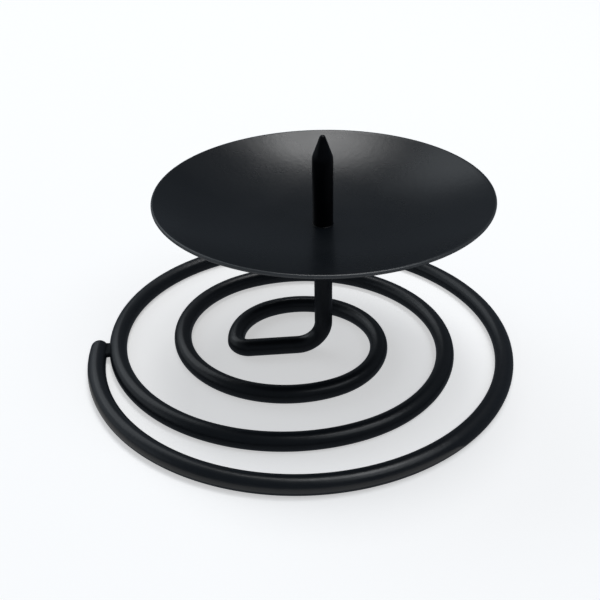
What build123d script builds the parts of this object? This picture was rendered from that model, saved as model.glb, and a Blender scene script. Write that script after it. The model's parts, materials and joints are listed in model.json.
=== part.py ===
# Spiral candle holder, in millimetres.
# One round rod lies on the table as a flat spiral. Its inner end runs in towards the middle, turns up
# as a stem and carries a dished plate, with a spike on top that holds the candle.
# +Z is up, and the origin lies on the table at the centre of the outer turn.

import os
from math import acos, asin, degrees, radians, sin

from build123d import *

# Rod and spiral, with radii on the rod's centre line
rod_diameter = 6.0
foot_flat = 0.5  # depth of the flat on which the spiral rests
inner_radius = 26.5  # smallest half turn
half_turns = 4
spiral_gap = 16.5  # clear between two turns
outer_gap = 14.65  # clear inside the outer turn, where it is widest
split_angle = 113.5  # direction of the line on which the half turns meet
end_gap = 0.4  # between the rod's outer end and the turn beside it
lead_radius = 20.8  # arc that leads from the smallest half turn to the corner
lead_angle = 73.0
corner_radius = 4.5
corner_angle = 87.5
run_length = 25.7  # from the corner to the stem's axis
elbow_radius = 9.0

# Dished plate
seat_height = 48.9  # top of the flat seat in the middle, above the table
seat_margin = 0.9  # flat left around the welds
plate_depth = 11.5
rim_radius = 52.3  # inner edge of the rim
plate_sheet = 1.2

# Spike
spike_diameter = 6.6
spike_length = 29.5
spike_point = 7.0  # length of the cone
spike_tip_diameter = 1.4

# Welds
weld_leg = 0.8  # bevel and fillet of the two ring welds
weld_gap = 0.05  # kept between a weld and the round or bevelled face beside it
tack_length = 6.0
tack_width = 4.0
tack_above = 2.0  # reach of the tack weld above the rod's centre line
tack_below = 1.5  # and below it

# Sizes that follow
rod_radius = rod_diameter / 2
rod_height = rod_radius - foot_flat
half_turn_pitch = (spiral_gap + rod_diameter) / 2  # growth from one half turn to the next
outer_pitch = outer_gap + rod_diameter - half_turn_pitch  # growth to the outer turn
last_radius = inner_radius + (half_turns - 1) * half_turn_pitch
outer_radius = last_radius + outer_pitch
plate_underside = seat_height - plate_sheet
spike_radius = spike_diameter / 2
seat_radius = max(rod_radius, spike_radius) + weld_leg + seat_margin
dish_reach = rim_radius - seat_radius
dish_radius = (dish_reach**2 + plate_depth**2) / (2 * plate_depth)
rim_slope = degrees(asin(dish_reach / dish_radius))

# The last half turn is struck from a centre one outer pitch along the split line. The outer turn
# stops where its centre line is one rod and the end gap away from that half turn.
last_centre = Vector(outer_pitch, 0, rod_height).rotate(Axis.Z, split_angle)
end_reach = last_radius + rod_diameter + end_gap
end_cosine = (outer_radius**2 + outer_pitch**2 - end_reach**2) / (2 * outer_radius * outer_pitch)
end_angle = split_angle + degrees(acos(end_cosine))
outer_end = Vector(outer_radius, 0, rod_height).rotate(Axis.Z, end_angle)
tail_turn = split_angle + 180 - end_angle

os.makedirs("parts", exist_ok=True)


def ring_weld_profile(pin_radius):
    # Triangle that fills the bevel at a pin's end and runs out on the seat, which is at height 0
    slant_gap = weld_gap / sin(radians(45))
    Polyline(
        (pin_radius - weld_leg + slant_gap, 0),
        (pin_radius + weld_leg, 0),
        (pin_radius, weld_leg - slant_gap),
        close=True,
    )


def least_gap(wire):
    # Smallest clear distance between stretches of the rod that lie apart along its length
    spacing = rod_diameter / 4
    apart = 3 * rod_diameter
    count = int(wire.length / spacing)
    skip = int(apart / spacing)
    points = [tuple(wire.position_at(i / count)) for i in range(count + 1)]
    nearest = min(
        sum((a - b) ** 2 for a, b in zip(points[i], points[j]))
        for i in range(count + 1 - skip)
        for j in range(i + skip, count + 1)
    )
    return nearest**0.5 - rod_diameter


# Rod, from its domed outer end through the spiral to the top of the stem
with BuildPart() as spiral_rod:
    with BuildLine() as centre_line:
        tail = JernArc(outer_end, Vector(0, 1, 0).rotate(Axis.Z, end_angle), outer_radius, tail_turn)
        turn = JernArc(tail @ 1, tail % 1, outer_radius, 180)
        for k in reversed(range(half_turns)):
            turn = JernArc(turn @ 1, turn % 1, inner_radius + k * half_turn_pitch, 180)
        lead = JernArc(turn @ 1, turn % 1, lead_radius, lead_angle)
        corner = JernArc(lead @ 1, lead % 1, corner_radius, corner_angle)
        stem_foot = (corner @ 1) + (corner % 1) * run_length
        run = Line(corner @ 1, stem_foot - (corner % 1) * elbow_radius)
        elbow = TangentArc(run @ 1, stem_foot + Vector(0, 0, elbow_radius), tangent=run % 1)
        Line(elbow @ 1, Vector(stem_foot.X, stem_foot.Y, plate_underside))
    with BuildSketch(Plane(origin=tail @ 0, z_dir=tail % 0)):
        Circle(rod_radius)
    sweep()
    with Locations(Plane(origin=outer_end, z_dir=(tail % 0) * -1)):
        Sphere(rod_radius, arc_size1=0, align=(Align.CENTER, Align.CENTER, Align.MIN))
    top_face = spiral_rod.faces().sort_by(Axis.Z)[-1]
    chamfer(top_face.edges(), weld_leg)
    split(bisect_by=Plane.XY, keep=Keep.TOP)
spiral_rod.part.label = "spiral_rod"
export_step(spiral_rod.part, "parts/spiral_rod.step")

stem_axis = Axis((stem_foot.X, stem_foot.Y, 0), (0, 0, 1))
seat_plane = Plane(origin=(stem_foot.X, stem_foot.Y, seat_height), x_dir=(1, 0, 0), z_dir=(0, -1, 0))
under_plane = Plane(origin=(stem_foot.X, stem_foot.Y, plate_underside), x_dir=(1, 0, 0), z_dir=(0, 1, 0))

# Plate with a flat seat in the middle, a dish that rises from it and a half-round rim
with BuildPart() as drip_plate:
    with BuildSketch(seat_plane):
        with BuildLine():
            Polyline((seat_radius, 0), (0, 0), (0, -plate_sheet), (seat_radius, -plate_sheet))
            outside = JernArc((seat_radius, -plate_sheet), (1, 0), dish_radius + plate_sheet, rim_slope)
            JernArc(outside @ 1, outside % 1, plate_sheet / 2, 180)
            JernArc((seat_radius, 0), (1, 0), dish_radius, rim_slope)
        make_face()
    revolve(axis=stem_axis)
drip_plate.part.label = "drip_plate"
export_step(drip_plate.part, "parts/drip_plate.step")

# Spike with a bevelled foot and a blunt cone
with BuildPart() as candle_spike:
    with BuildSketch(seat_plane):
        with BuildLine():
            Polyline(
                (0, 0),
                (spike_radius - weld_leg, 0),
                (spike_radius, weld_leg),
                (spike_radius, spike_length - spike_point),
                (spike_tip_diameter / 2, spike_length),
                (0, spike_length),
                close=True,
            )
        make_face()
    revolve(axis=stem_axis)
candle_spike.part.label = "candle_spike"
export_step(candle_spike.part, "parts/candle_spike.step")

# Ring weld between the spike and the top of the plate
with BuildPart() as spike_weld:
    with BuildSketch(seat_plane):
        with BuildLine():
            ring_weld_profile(spike_radius)
        make_face()
    revolve(axis=stem_axis)
spike_weld.part.label = "spike_weld"
export_step(spike_weld.part, "parts/spike_weld.step")

# Ring weld between the stem and the underside of the plate
with BuildPart() as stem_weld:
    with BuildSketch(under_plane):
        with BuildLine():
            ring_weld_profile(rod_radius)
        make_face()
    revolve(axis=stem_axis)
stem_weld.part.label = "stem_weld"
export_step(stem_weld.part, "parts/stem_weld.step")

# Tack weld in the groove between the rod's outer end and the turn beside it
groove_radius = last_radius + rod_radius + end_gap / 2
groove_ray = (outer_end - last_centre).normalized()
tack_ray = groove_ray.rotate(Axis.Z, degrees(tack_width / 2 / groove_radius))
tack_turn = degrees((tack_length - tack_width) / groove_radius)
with BuildPart() as end_weld:
    with BuildSketch(Plane.XY.offset(rod_height - tack_below)):
        with BuildLine() as bead:
            JernArc(
                tuple(last_centre + tack_ray * groove_radius)[:2],
                tuple(tack_ray.rotate(Axis.Z, 90))[:2],
                groove_radius,
                tack_turn,
            )
        SlotArc(bead.edges()[0], tack_width)
    extrude(amount=tack_above + tack_below)
    with Locations(last_centre):
        Torus(last_radius, rod_radius + weld_gap, mode=Mode.SUBTRACT)
    with Locations((0, 0, rod_height)):
        Torus(outer_radius, rod_radius + weld_gap, mode=Mode.SUBTRACT)
end_weld.part.label = "end_weld"
export_step(end_weld.part, "parts/end_weld.step")

rod_wire = centre_line.wires()[0]
print(f"rod length {rod_wire.length:.1f}")
print(f"least gap of the rod to itself {least_gap(rod_wire):.2f}")
print(f"stem axis at x {stem_foot.X:.3f}, y {stem_foot.Y:.3f}")
print(f"outer turn radius {outer_radius:.2f}, overall height {seat_height + spike_length:.1f}")
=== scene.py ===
import json
import math

import bpy
import numpy as np
from mathutils import Euler, Matrix, Vector


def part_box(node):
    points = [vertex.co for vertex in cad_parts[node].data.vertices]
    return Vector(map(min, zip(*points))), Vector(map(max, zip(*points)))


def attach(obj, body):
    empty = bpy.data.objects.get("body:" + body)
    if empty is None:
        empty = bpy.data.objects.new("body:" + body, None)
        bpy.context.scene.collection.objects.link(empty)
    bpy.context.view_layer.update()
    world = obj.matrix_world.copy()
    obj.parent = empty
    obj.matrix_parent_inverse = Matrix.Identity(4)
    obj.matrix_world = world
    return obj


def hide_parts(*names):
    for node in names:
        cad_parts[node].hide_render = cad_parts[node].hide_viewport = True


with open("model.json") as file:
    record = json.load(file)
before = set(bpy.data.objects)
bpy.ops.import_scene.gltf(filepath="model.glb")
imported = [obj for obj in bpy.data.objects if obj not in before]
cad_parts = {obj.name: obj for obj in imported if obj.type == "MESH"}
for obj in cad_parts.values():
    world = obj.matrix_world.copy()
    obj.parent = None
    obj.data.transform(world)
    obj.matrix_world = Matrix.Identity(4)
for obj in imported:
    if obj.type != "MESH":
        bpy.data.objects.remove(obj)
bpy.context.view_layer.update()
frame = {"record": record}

scene = bpy.context.scene
mounts = {mount["name"]: mount for mount in frame["record"]["mounts"]}
stemX, stemY = mounts["candle_spike"]["pos_m"][:2]  # one axis for stem, plate and spike
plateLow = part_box("drip_plate")[0]
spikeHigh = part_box("candle_spike")[1]
print("frame: stem axis at", round(stemX, 5), round(stemY, 5), "height", round(spikeHigh.z, 4))


# Surfaces

def gridFaces(rows, columns, closedRows):
    # Quads of a grid whose columns close up: corner (i, j) joins (i, j+1), (i+1, j+1) and (i+1, j)
    i = np.arange(rows if closedRows else rows - 1)[:, None]
    j = np.arange(columns)[None, :]
    below = (i + 1) % rows
    right = (j + 1) % columns
    corners = [i * columns + j, i * columns + right, below * columns + right, below * columns + j]
    return np.stack(np.broadcast_arrays(*corners), axis=-1).reshape(-1, 4)


def capFaces(ring, pole):
    # Triangles from the pole's vertex to each side of a ring of vertices
    return np.stack([np.full_like(ring, pole), ring, np.roll(ring, -1)], axis=-1)


def enclosedVolume(points, quads):
    # Sum of the signed pyramids from the middle of the points to both halves of each quad
    a, b, c, d = (points[quads[:, k]] - points.mean(axis=0) for k in range(4))
    halves = np.einsum("ij,ij->i", a, np.cross(b, c)) + np.einsum("ij,ij->i", a, np.cross(c, d))
    return halves.sum() / 6


def makePiece(name, rings, poles=None, closedRows=False, paintedRimHighlight=None):
    # Skin over rings of points, closed along each ring, and at both ends by a pole or by joining up
    rows, columns = rings.shape[:2]
    points = rings.reshape(-1, 3)
    quads = gridFaces(rows, columns, closedRows)
    caps = np.empty((0, 3), dtype=int)
    if poles is not None:
        first = np.arange(columns)
        last = first + (rows - 1) * columns
        caps = np.vstack([capFaces(first, len(points))[:, ::-1], capFaces(last, len(points) + 1)])
        points = np.vstack([points, poles])
    if enclosedVolume(points, quads) < 0:  # turned so that every face looks outwards
        quads = quads[:, ::-1]
        caps = caps[:, ::-1]
    mesh = bpy.data.meshes.new(name)
    mesh.from_pydata(points.tolist(), [], quads.tolist() + caps.tolist())
    mesh.polygons.foreach_set("use_smooth", np.ones(len(mesh.polygons), dtype=bool))
    # painted highlight: each ring's share of the lighter rim colour, kept on the points
    if paintedRimHighlight is not None:
        values = np.zeros(len(points), dtype=np.float32)
        values[: rows * columns] = np.broadcast_to(paintedRimHighlight[:, None], (rows, columns)).ravel()
        mesh.attributes.new("paintedRimHighlight", "FLOAT", "POINT").data.foreach_set("value", values)
    mesh.update()
    piece = bpy.data.objects.new(name, mesh)
    scene.collection.objects.link(piece)
    print("piece:", name, len(points), "points")
    return piece


def turnedRings(profile, count):
    # Each profile point (radius, height) goes round the stem's axis
    angle = np.linspace(0, 2 * np.pi, count, endpoint=False)
    radius, height = profile[:, 0][:, None], profile[:, 1][:, None]
    x = stemX + radius * np.cos(angle)
    y = stemY + radius * np.sin(angle)
    return np.stack(np.broadcast_arrays(x, y, height), axis=-1)


def roundArc(centre, radius, start, end, count):
    # Points of a circle's arc between two angles in degrees
    angle = np.radians(np.linspace(start, end, count))
    return np.stack([centre[0] + radius * np.cos(angle), centre[1] + radius * np.sin(angle)], axis=-1)


# Black powder coat

def coatMaterial(name, look):
    # Satin black: cloudy tone and roughness, orange peel and fine grain in the bump,
    # and a painted highlight: a lighter colour along the plate's half-round rim, if the look has a rim
    # highlight tone
    material = bpy.data.materials.new(name)
    material.use_nodes = True
    tree = material.node_tree
    tree.nodes.clear()
    link = tree.links.new
    output = tree.nodes.new("ShaderNodeOutputMaterial")
    shader = tree.nodes.new("ShaderNodeBsdfPrincipled")
    shader.inputs["Specular IOR Level"].default_value = look["specular"]
    link(shader.outputs["BSDF"], output.inputs["Surface"])
    place = tree.nodes.new("ShaderNodeTexCoord").outputs["Object"]
    noiseLow, noiseHigh = 0.3, 0.7  # range in which most of a noise's values lie
    bumpDepth = 0.25  # share of a bump's size

    def cloud(size, detail):
        noise = tree.nodes.new("ShaderNodeTexNoise")
        noise.inputs["Scale"].default_value = 1 / size
        noise.inputs["Detail"].default_value = detail
        link(place, noise.inputs["Vector"])
        return noise.outputs["Fac"]

    def spread(value, low, high):
        remap = tree.nodes.new("ShaderNodeMapRange")
        remap.inputs["From Min"].default_value = noiseLow
        remap.inputs["From Max"].default_value = noiseHigh
        remap.inputs["To Min"].default_value = low
        remap.inputs["To Max"].default_value = high
        link(value, remap.inputs["Value"])
        return remap.outputs["Result"]

    def blend(amount, first, second):
        mix = tree.nodes.new("ShaderNodeMix")
        mix.data_type = "RGBA"
        link(amount, mix.inputs["Factor"])
        for socket, colour in ((mix.inputs["A"], first), (mix.inputs["B"], second)):
            if isinstance(colour, tuple):
                socket.default_value = (*colour, 1)
            else:
                link(colour, socket)
        return mix.outputs["Result"]

    tone = blend(spread(cloud(look["toneSize"], detail=3), 0, 1), look["darkTone"], look["lightTone"])
    # painted highlight: the colour is mixed towards a lighter one along the rim, where the rim catches light
    if "rimHighlightTone" in look:
        rimHighlightNode = tree.nodes.new("ShaderNodeAttribute")
        rimHighlightNode.attribute_name = "paintedRimHighlight"
        tone = blend(rimHighlightNode.outputs["Fac"], tone, look["rimHighlightTone"])
    link(tone, shader.inputs["Base Color"])
    link(spread(cloud(look["glossSize"], detail=2), *look["roughness"]), shader.inputs["Roughness"])
    peel = tree.nodes.new("ShaderNodeBump")
    peel.inputs["Strength"].default_value = look["peel"]
    peel.inputs["Distance"].default_value = bumpDepth * look["peelSize"]
    link(cloud(look["peelSize"], detail=1), peel.inputs["Height"])
    grain = tree.nodes.new("ShaderNodeBump")
    grain.inputs["Strength"].default_value = look["grain"]
    grain.inputs["Distance"].default_value = bumpDepth * look["grainSize"]
    link(cloud(look["grainSize"], detail=0), grain.inputs["Height"])
    link(peel.outputs["Normal"], grain.inputs["Normal"])
    link(grain.outputs["Normal"], shader.inputs["Normal"])
    return material


rodCoat = coatMaterial("rodCoat", {
    "darkTone": (0.0069, 0.0091, 0.0123),
    "lightTone": (0.0090, 0.0116, 0.0151),
    "toneSize": 0.018,
    "specular": 0.5,
    "roughness": (0.28, 0.33),
    "glossSize": 0.010,
    "peel": 0.10,
    "peelSize": 0.0014,
    "grain": 0.05,
    "grainSize": 0.00035,
})
plateCoat = coatMaterial("plateCoat", {
    "darkTone": (0.0056, 0.0075, 0.0098),
    "lightTone": (0.0074, 0.0097, 0.0124),
    # painted highlight along the plate's rim
    "rimHighlightTone": (0.055, 0.060, 0.065),
    "toneSize": 0.026,
    "specular": 0.5,
    "roughness": (0.26, 0.30),
    "glossSize": 0.016,
    "peel": 0.05,
    "peelSize": 0.0018,
    "grain": 0.03,
    "grainSize": 0.00035,
})
# painted shade: a far darker, less glossy copy of the same black coat, for the spike and its ring weld
shadedSpikeCoat = coatMaterial("shadedSpikeCoat", {
    "darkTone": (0.0004, 0.0009, 0.0020),
    "lightTone": (0.0008, 0.0016, 0.0032),
    "toneSize": 0.012,
    "specular": 0.2,
    "roughness": (0.32, 0.37),
    "glossSize": 0.008,
    "peel": 0.08,
    "peelSize": 0.0014,
    "grain": 0.04,
    "grainSize": 0.00035,
})
weldCoat = coatMaterial("weldCoat", {
    "darkTone": (0.0032, 0.0058, 0.0080),
    "lightTone": (0.0046, 0.0076, 0.0102),
    "toneSize": 0.004,
    "specular": 0.15,
    "roughness": (0.55, 0.65),
    "glossSize": 0.003,
    "peel": 0.16,
    "peelSize": 0.0010,
    "grain": 0.06,
    "grainSize": 0.0003,
})
print("materials: rodCoat, plateCoat, shadedSpikeCoat, weldCoat")


def finishPiece(piece, material, node):
    piece.data.materials.append(material)
    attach(piece, "root")
    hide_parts(node)


# Rod: domed end, spiral foot, run to the middle, elbow and stem
rod = {
    "radius": 0.003,
    "footFlat": 0.0005,
    "innerRadius": 0.0265,
    "halfTurns": 4,
    "spiralGap": 0.0165,
    "outerGap": 0.01465,
    "splitAngle": 113.5,
    "endGap": 0.0004,
    "leadRadius": 0.0208,
    "leadAngle": 73.0,
    "cornerRadius": 0.0045,
    "cornerAngle": 87.5,
    "runLength": 0.0257,
    "elbowRadius": 0.009,
    "bendThinning": 0.06,  # share of the radius lost on the outside of the two tight bends
    "topBevel": 0.00025,  # covered by the weld under the plate
    "sides": 64,
    "ringStep": 0.0015,
    "ringTurn": 2.5,
    "domeStart": 86,  # degrees from the rod's side to the first ring of the end's dome
    "domeRings": 18,
    "runRings": 14,
    "stemRings": 26,
}
rodHeight = rod["radius"] - rod["footFlat"]
pitch = rod["spiralGap"] / 2 + rod["radius"]
outerPitch = rod["outerGap"] + 2 * rod["radius"] - pitch
lastRadius = rod["innerRadius"] + (rod["halfTurns"] - 1) * pitch
outerRadius = lastRadius + outerPitch
split = math.radians(rod["splitAngle"])
endReach = lastRadius + 2 * rod["radius"] + rod["endGap"]
endCosine = (outerRadius**2 + outerPitch**2 - endReach**2) / (2 * outerRadius * outerPitch)
endAngle = split + math.acos(endCosine)
lastCentre = outerPitch * np.array([math.cos(split), math.sin(split)])
outerEnd = outerRadius * np.array([math.cos(endAngle), math.sin(endAngle)])


def arcSteps(radius, turn):
    # Rings along an arc, as turned angles after its start
    count = max(radius * turn / rod["ringStep"], math.degrees(turn) / rod["ringTurn"])
    return np.linspace(0, turn, math.ceil(count) + 1)[1:]


def rodPath():
    # Rows of x, y, z, heading, climb, ring radius, corner bend and elbow bend along the rod's centre line.
    # A flat arc turns left: x = x0 + r (sin h - sin h0), y = y0 - r (cos h - cos h0), with h the heading.
    rows = []
    radius = rod["radius"]
    spot = outerEnd
    heading = endAngle + math.pi / 2

    def straight(along, height, climb, ringRadius, elbowBend):
        # Points in the upright plane through the spot and its heading
        same = np.zeros_like(along)
        x = spot[0] + along * math.cos(heading)
        y = spot[1] + along * math.sin(heading)
        rows.append(np.stack([x, y, height + same, heading + same, climb + same, ringRadius + same, same,
                              elbowBend + same], axis=-1))

    def flatArc(arcRadius, turned, cornerBend):
        nonlocal spot, heading
        h = heading + turned
        x = spot[0] + arcRadius * (np.sin(h) - math.sin(heading))
        y = spot[1] - arcRadius * (np.cos(h) - math.cos(heading))
        same = np.zeros_like(h)
        rows.append(np.stack([x, y, rodHeight + same, h, same, radius + same, cornerBend + same,
                              same], axis=-1))
        spot = np.array([x[-1], y[-1]])
        heading = h[-1]

    dome = np.radians(np.linspace(rod["domeStart"], 0, rod["domeRings"]))  # half ball over the outer end
    straight(-radius * np.sin(dome), rodHeight, 0, radius * np.cos(dome), 0)
    flatArc(outerRadius, arcSteps(outerRadius, split + math.pi * 1.5 - heading), 0)
    flatArc(outerRadius, arcSteps(outerRadius, math.pi), 0)
    for k in reversed(range(rod["halfTurns"])):
        turnRadius = rod["innerRadius"] + k * pitch
        flatArc(turnRadius, arcSteps(turnRadius, math.pi), 0)
    flatArc(rod["leadRadius"], arcSteps(rod["leadRadius"], math.radians(rod["leadAngle"])), 0)
    corner = arcSteps(rod["cornerRadius"], math.radians(rod["cornerAngle"]))
    flatArc(rod["cornerRadius"], corner, np.sin(math.pi * corner / corner[-1]) ** 2)

    elbowRadius = rod["elbowRadius"]
    runEnd = rod["runLength"] - elbowRadius
    straight(np.linspace(0, runEnd, rod["runRings"])[1:], rodHeight, 0, radius, 0)
    climb = arcSteps(elbowRadius, math.pi / 2)
    rise = elbowRadius * (1 - np.cos(climb))
    straight(runEnd + elbowRadius * np.sin(climb), rodHeight + rise, climb, radius, np.sin(2 * climb) ** 2)
    bevel = plateLow.z - rod["topBevel"]
    height = np.append(np.linspace(rodHeight + elbowRadius, bevel, rod["stemRings"])[1:], plateLow.z)
    straight(0 * height + rod["runLength"], height, math.pi / 2,
             np.where(height > bevel, radius - rod["topBevel"], radius), 0)
    return np.vstack(rows)


def rodRings(path):
    # Circle about each path point, in the plane of the sideways and upward normals, cut off flat at the table
    x, y, z, heading, climb, ringRadius, cornerBend, elbowBend = path.T
    centre = np.stack([x, y, z], axis=-1)
    sideways = np.stack([-np.sin(heading), np.cos(heading), 0 * heading], axis=-1)
    upward = np.stack(
        [-np.sin(climb) * np.cos(heading), -np.sin(climb) * np.sin(heading), np.cos(climb)], axis=-1)
    angle = np.linspace(0, 2 * np.pi, rod["sides"], endpoint=False)
    cosine, sine = np.cos(angle), np.sin(angle)
    outside = cornerBend[:, None] * np.clip(-cosine, 0, 1) ** 2
    outside = outside + elbowBend[:, None] * np.clip(-sine, 0, 1) ** 2
    radius = (ringRadius[:, None] * (1 - rod["bendThinning"] * outside))[..., None]
    rings = centre[:, None] + radius * (cosine[:, None] * sideways[:, None] + sine[:, None] * upward[:, None])
    rings[..., 2] = np.maximum(rings[..., 2], 0)
    return rings


path = rodPath()
length = np.linalg.norm(np.diff(path[:, :3], axis=0), axis=1).sum()
print("rod: ends at", path[-1, :3].round(5), "length", round(length, 4))
endHeading = endAngle + math.pi / 2
domeTip = outerEnd - rod["radius"] * np.array([math.cos(endHeading), math.sin(endHeading)])
spiralRod = makePiece("spiralRod", rodRings(path), poles=np.array([[*domeTip, rodHeight], path[-1, :3]]))
finishPiece(spiralRod, rodCoat, "spiral_rod")


# Dished plate
plate = {
    "sheet": 0.0012,
    "seatRadius": 0.005,
    "rimRadius": 0.0523,
    "depth": 0.0115,
    "poleGap": 0.0004,  # radius of the ring round the middle vertex
    "seatRings": 6,
    "dishRings": 48,
    "rimRings": 13,
    "segments": 288,
}
seatTop = plateLow.z + plate["sheet"]
dishReach = plate["rimRadius"] - plate["seatRadius"]
dishRadius = (dishReach**2 + plate["depth"] ** 2) / (2 * plate["depth"])
rimSlope = math.degrees(math.asin(dishReach / dishRadius))


def plateProfile():
    # Flat seat, dish arc up to the rim, half-round rim, and the same arc one sheet lower on the way back
    centre = (plate["seatRadius"], seatTop + dishRadius)
    half = plate["sheet"] / 2
    rimMiddle = roundArc(centre, dishRadius + half, rimSlope - 90, rimSlope - 90, 1)[0]
    reach = np.linspace(plate["poleGap"], plate["seatRadius"], plate["seatRings"])
    seat = np.stack([reach, np.full_like(reach, seatTop)], axis=-1)
    inside = roundArc(centre, dishRadius, -90, rimSlope - 90, plate["dishRings"])[1:]
    rim = roundArc(rimMiddle, half, rimSlope + 90, rimSlope - 90, plate["rimRings"])[1:-1]
    outside = roundArc(centre, dishRadius + plate["sheet"], rimSlope - 90, -90, plate["dishRings"])
    under = np.stack([reach[::-1], np.full_like(reach, plateLow.z)], axis=-1)[1:]
    profile = np.vstack([seat, inside, rim, outside, under])
    # painted highlight: share of the lighter colour, rising to full at the middle of the half-round rim
    rimHighlightShare = np.zeros(len(profile))
    start = len(seat) + len(inside)
    rimHighlightShare[start: start + len(rim)] = np.sin(np.linspace(0, np.pi, len(rim)))
    return profile, rimHighlightShare


profile, rimHighlightShare = plateProfile()
poles = np.array([[stemX, stemY, seatTop], [stemX, stemY, plateLow.z]])
dripPlate = makePiece("dripPlate", turnedRings(profile, plate["segments"]), poles=poles, paintedRimHighlight=rimHighlightShare)
finishPiece(dripPlate, plateCoat, "drip_plate")


# Spike
spike = {
    "radius": mounts["candle_spike"]["dims"]["r_mm"] / 1000,
    "pointLength": 0.007,
    "tipRadius": 0.0007,
    "shoulderRounding": 0.0012,
    "footBevel": 0.00025,  # covered by the weld on the plate
    "wallRings": 24,
    "bendRings": 10,
    "coneRings": 14,
    "tipRings": 12,
    "tipEnd": 86,  # degrees up the tip's dome to its last ring
    "segments": 72,
}


def spikeProfile():
    # Bevelled foot, straight wall, shoulder rounded into the cone, and a domed tip that touches the cone
    radius, top = spike["radius"], spikeHigh.z
    shoulder = top - spike["pointLength"]
    slant = math.degrees(math.atan2(spike["pointLength"], radius - spike["tipRadius"]))  # cone against level
    turn = 90 - slant
    rounding = spike["shoulderRounding"] / math.tan(math.radians(turn / 2))
    foot = np.array([[radius - spike["footBevel"], seatTop]])
    wallTop = shoulder - spike["shoulderRounding"]
    height = np.linspace(seatTop + spike["footBevel"], wallTop, spike["wallRings"])
    wall = np.stack([np.full_like(height, radius), height], axis=-1)
    bend = roundArc((radius - rounding, wallTop), rounding, 0, turn, spike["bendRings"])[1:]
    dome = spike["tipRadius"] * math.tan(math.radians(45 + turn / 2))  # ball that ends level with the tip
    tip = roundArc((0, top - dome), dome, turn, spike["tipEnd"], spike["tipRings"])
    cone = np.linspace(bend[-1], tip[0], spike["coneRings"])[1:-1]
    return np.vstack([foot, wall, bend, cone, tip])


profile = spikeProfile()
poles = np.array([[stemX, stemY, seatTop], [stemX, stemY, spikeHigh.z]])
candleSpike = makePiece("candleSpike", turnedRings(profile, spike["segments"]), poles=poles)
# painted shade: the spike gets the darker copy of the black coat
finishPiece(candleSpike, shadedSpikeCoat, "candle_spike")


# Ring welds above and below the plate
ringWeld = {
    "leg": 0.0003,
    "bite": 0.00012,  # how far the bead runs into the metal
    "hollow": 0.00003,  # depth of its concave face
    "ripple": 0.00001,
    "ripples": 30,
    "rippleSlant": 2.5,
    "stopLump": 0.00004,
    "stopAngle": 2.3,
    "stopWidth": 0.3,
    "segments": 240,
    "across": 12,
}


def beadRings(pinRadius, height, up):
    # Fillet of a round pin on the plate: a line from the pin's wall to the plate, hollowed by a half sine,
    # with slanted ripples round the ring and one lump where the weld stops
    angle = np.linspace(0, 2 * np.pi, ringWeld["segments"], endpoint=False)[:, None]
    v = np.linspace(0, 1, ringWeld["across"])[None, :]
    bite, leg = ringWeld["bite"], ringWeld["leg"]
    away = np.angle(np.exp(1j * (angle - ringWeld["stopAngle"])))
    ripple = ringWeld["ripple"] * np.sin(ringWeld["ripples"] * angle - ringWeld["rippleSlant"] * v)
    lump = ringWeld["stopLump"] * np.exp(-((away / ringWeld["stopWidth"]) ** 2))
    crown = (ripple - ringWeld["hollow"] + lump) * np.sin(np.pi * v) / math.sqrt(2)
    out = pinRadius - bite + v * (leg + bite) + crown
    rise = leg - v * (leg + bite) + crown
    corner = np.ones_like(angle)
    out = np.hstack([out, corner * (pinRadius - 2 * bite)])
    rise = np.hstack([rise, corner * -bite])
    return np.stack([stemX + out * np.cos(angle), stemY + out * np.sin(angle), height + up * rise], axis=-1)


spikeWeld = makePiece("spikeWeld", beadRings(spike["radius"], seatTop, 1), closedRows=True)
# painted shade: this ring weld gets the spike's darker copy of the coat
finishPiece(spikeWeld, shadedSpikeCoat, "spike_weld")
stemWeld = makePiece("stemWeld", beadRings(rod["radius"], plateLow.z, -1), closedRows=True)
finishPiece(stemWeld, weldCoat, "stem_weld")


# Tack weld between the rod's outer end and the turn beside it
tack = {
    "behind": 0.0021,  # reach behind the middle of the end's dome
    "ahead": 0.0054,
    "backNose": 0.0014,  # length over which the bead runs out
    "frontNose": 0.0014,
    "above": 0.0014,
    "below": 0.0009,
    "bite": 0.0002,
    "hollow": 0.00020,
    "ripple": 0.00002,
    "ripples": 5,
    "rippleBow": 2.0,
    "rings": 80,
    "across": 14,
    "wallRows": 10,
}


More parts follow.
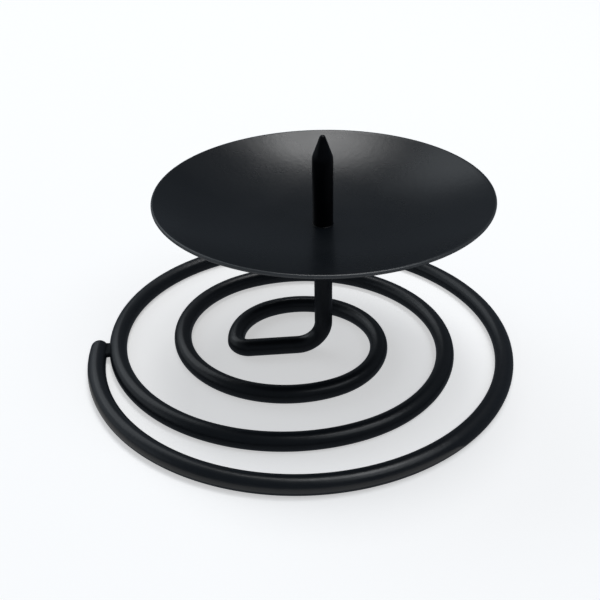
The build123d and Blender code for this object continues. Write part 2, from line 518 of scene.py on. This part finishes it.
def tackRings():
    # Fill of the groove between the turn and the rod's end: at a height h off their middle, with a gap
    # of 2 g, it reaches g + r - sqrt(r^2 - h^2) inwards to the turn. Outwards, at a distance a behind the
    # middle of the dome, it reaches g + r - sqrt(r^2 - h^2 - a^2). Both ends run out as quarter ellipses.
    radius = rod["radius"]
    ray = outerEnd - lastCentre
    along = np.linspace(-tack["behind"], tack["ahead"], tack["rings"])[:, None]
    angle = math.atan2(ray[1], ray[0]) + along / (lastRadius + radius)
    cosine, sine = np.cos(angle), np.sin(angle)
    toCentre = cosine * lastCentre[0] + sine * lastCentre[1]
    outerReach = -toCentre + np.sqrt(toCentre**2 - outerPitch**2 + outerRadius**2)  # to the outer turn's rod
    middle = (lastRadius + outerReach) / 2
    gap = (outerReach - lastRadius) / 2 - radius
    fromBack = np.clip((along + tack["behind"]) / tack["backNose"], 0, 1)
    fromFront = np.clip((tack["ahead"] - along) / tack["frontNose"], 0, 1)
    size = np.sqrt(1 - (1 - fromBack) ** 2) * np.sqrt(1 - (1 - fromFront) ** 2)

    def inward(level):
        return gap + radius - np.sqrt(radius**2 - level**2) + tack["bite"]

    def outward(level):
        behind = np.minimum(along, 0)
        return gap + radius - np.sqrt(radius**2 - level**2 - behind**2) + tack["bite"]

    v = np.linspace(-1, 1, tack["across"])[None, :]
    top, low = tack["above"] * size, -tack["below"] * size
    share = np.linspace(0, 1, tack["wallRows"])[None, 1:-1]
    wall = top + (low - top) * share
    wave = 2 * np.pi * tack["ripples"] * along / tack["ahead"]
    ripple = tack["ripple"] * np.sin(wave + tack["rippleBow"] * v**2)
    roof = top - (tack["hollow"] - ripple) * (1 - v**2) * size
    floor = low + tack["hollow"] * (1 - v**2) * size
    roofAcross = v * np.where(v < 0, inward(top), outward(top))
    floorAcross = v * np.where(v < 0, inward(low), outward(low))
    across = np.hstack([roofAcross, outward(wall), floorAcross[:, ::-1], -inward(wall[:, ::-1])])
    level = np.hstack([roof, wall, floor[:, ::-1], wall[:, ::-1]])
    reach = middle + across
    x = lastCentre[0] + reach * cosine
    y = lastCentre[1] + reach * sine
    return np.stack([x, y, rodHeight + level], axis=-1)


rings = tackRings()
endWeld = makePiece("endWeld", rings, poles=rings[[0, -1]].mean(axis=1))
finishPiece(endWeld, weldCoat, "end_weld")


# Floor, light and camera
stage = {
    "floorReach": 4.0,
    "floorColour": (0.80, 0.80, 0.80),
    "floorGlow": 0.50,
    "room": (0.082, 0.093, 0.108),  # dim light from all round
    "cardGlow": 0.50,
    "cardReach": (0.0735, 0.16),
    "cardSpan": (190, 312),  # degrees round the foot
    "cardLift": 0.0001,
    "cardPoints": 64,
}
# Place of each soft light: degrees from the back towards the right, degrees up, metres away and metres across
lights = {
    "overheadBox": {"bearing": 1, "rise": 69, "distance": 2.4, "size": (0.86, 0.86), "glow": 5.5,
                    "colour": (1.0, 1.0, 1.0)},
    "ceilingPanel": {"bearing": 74, "rise": 76, "distance": 2.0, "size": (0.90, 1.00), "glow": 3.7,
                     "colour": (0.98, 1.0, 1.02)},
    "sideBox": {"bearing": 119, "rise": 56, "distance": 2.0, "size": (1.55, 1.10), "glow": 1.10,
                "colour": (0.95, 1.0, 1.05)},
    "backWindow": {"bearing": -41, "rise": 41, "distance": 2.0, "size": (1.70, 1.15), "glow": 0.90,
                   "colour": (0.94, 1.0, 1.05)},
    "leftWindow": {"bearing": -71, "rise": 22, "distance": 2.0, "size": (3.20, 1.50), "glow": 0.30,
                   "colour": (0.92, 1.0, 1.06)},
}
view = {
    "spot": (0.000361, -0.238481, 0.168195),
    "pitch": 31.912,  # looking down, in degrees
    "roll": 1.32,
    "lens": 49.844,
    "sensor": 36.0,
    "clipStart": 0.01,
}


def glowMaterial(name, colour, glow):
    material = bpy.data.materials.new(name)
    material.use_nodes = True
    shader = material.node_tree.nodes["Principled BSDF"]
    shader.inputs["Base Color"].default_value = (*colour, 1)
    shader.inputs["Roughness"].default_value = 1.0
    shader.inputs["Specular IOR Level"].default_value = 0.0
    shader.inputs["Emission Color"].default_value = (1, 1, 1, 1)
    shader.inputs["Emission Strength"].default_value = glow
    return material


def makeFloor():
    # Flat square far larger than the view
    corners = stage["floorReach"] * np.array([[-1, -1, 0], [1, -1, 0], [1, 1, 0], [-1, 1, 0]])
    mesh = bpy.data.meshes.new("floor")
    mesh.from_pydata(corners.tolist(), [], [(0, 1, 2, 3)])
    mesh.materials.append(glowMaterial("paleFloor", stage["floorColour"], stage["floorGlow"]))
    floor = bpy.data.objects.new("floor", mesh)
    scene.collection.objects.link(floor)
    floor.visible_glossy = False  # kept out of the gloss, which mirrors the room and the card instead


def makeCard():
    # Pale card on the floor before the foot, seen only in the gloss: part of a flat ring
    angle = np.radians(np.linspace(*stage["cardSpan"], stage["cardPoints"]))
    near, far = stage["cardReach"]
    lift = np.full_like(angle, stage["cardLift"])
    inner = np.stack([near * np.cos(angle), near * np.sin(angle), lift], axis=-1)
    outer = np.stack([far * np.cos(angle), far * np.sin(angle), lift], axis=-1)
    i = np.arange(len(angle) - 1)
    quads = np.stack([i, i + len(angle), i + len(angle) + 1, i + 1], axis=-1)
    mesh = bpy.data.meshes.new("frontCard")
    mesh.from_pydata(np.vstack([inner, outer]).tolist(), [], quads.tolist())
    mesh.materials.append(glowMaterial("paleCard", (0, 0, 0), stage["cardGlow"]))
    card = bpy.data.objects.new("frontCard", mesh)
    scene.collection.objects.link(card)
    card.visible_camera = False
    card.visible_diffuse = False
    card.visible_shadow = False


def makeLight(name, lamp):
    # Elliptic soft light aimed at the plate, whose power is its glow times pi times its area
    bearing, rise = math.radians(lamp["bearing"]), math.radians(lamp["rise"])
    aim = Vector((stemX, 0, plateLow.z))
    away = Vector((math.cos(rise) * math.sin(bearing), math.cos(rise) * math.cos(bearing), math.sin(rise)))
    data = bpy.data.lights.new(name, "AREA")
    data.shape = "ELLIPSE"
    data.size, data.size_y = lamp["size"]
    data.energy = lamp["glow"] * math.pi * (math.pi / 4 * data.size * data.size_y)
    data.color = lamp["colour"]
    light = bpy.data.objects.new(name, data)
    light.location = aim + lamp["distance"] * away
    light.rotation_euler = (-away).to_track_quat("-Z", "Y").to_euler()
    light.visible_camera = False
    scene.collection.objects.link(light)


def makeWorld():
    world = bpy.data.worlds.new("studioRoom")
    world.use_nodes = True
    world.node_tree.nodes["Background"].inputs["Color"].default_value = (*stage["room"], 1)
    scene.world = world


def makeCamera():
    data = bpy.data.cameras.new("photoView")
    data.lens = view["lens"]
    data.sensor_width = view["sensor"]
    data.clip_start = view["clipStart"]
    camera = bpy.data.objects.new("photoView", data)
    turn = Euler((math.radians(90 - view["pitch"]), 0, 0)).to_matrix()
    turn = turn @ Matrix.Rotation(math.radians(-view["roll"]), 3, "Z")
    camera.matrix_world = Matrix.Translation(view["spot"]) @ turn.to_4x4()
    scene.collection.objects.link(camera)
    scene.camera = camera


makeFloor()
makeCard()
for name, lamp in lights.items():
    makeLight(name, lamp)
makeWorld()
makeCamera()
scene.view_settings.view_transform = "Standard"
print("stage: floor, card,", len(lights), "soft lights and the camera")
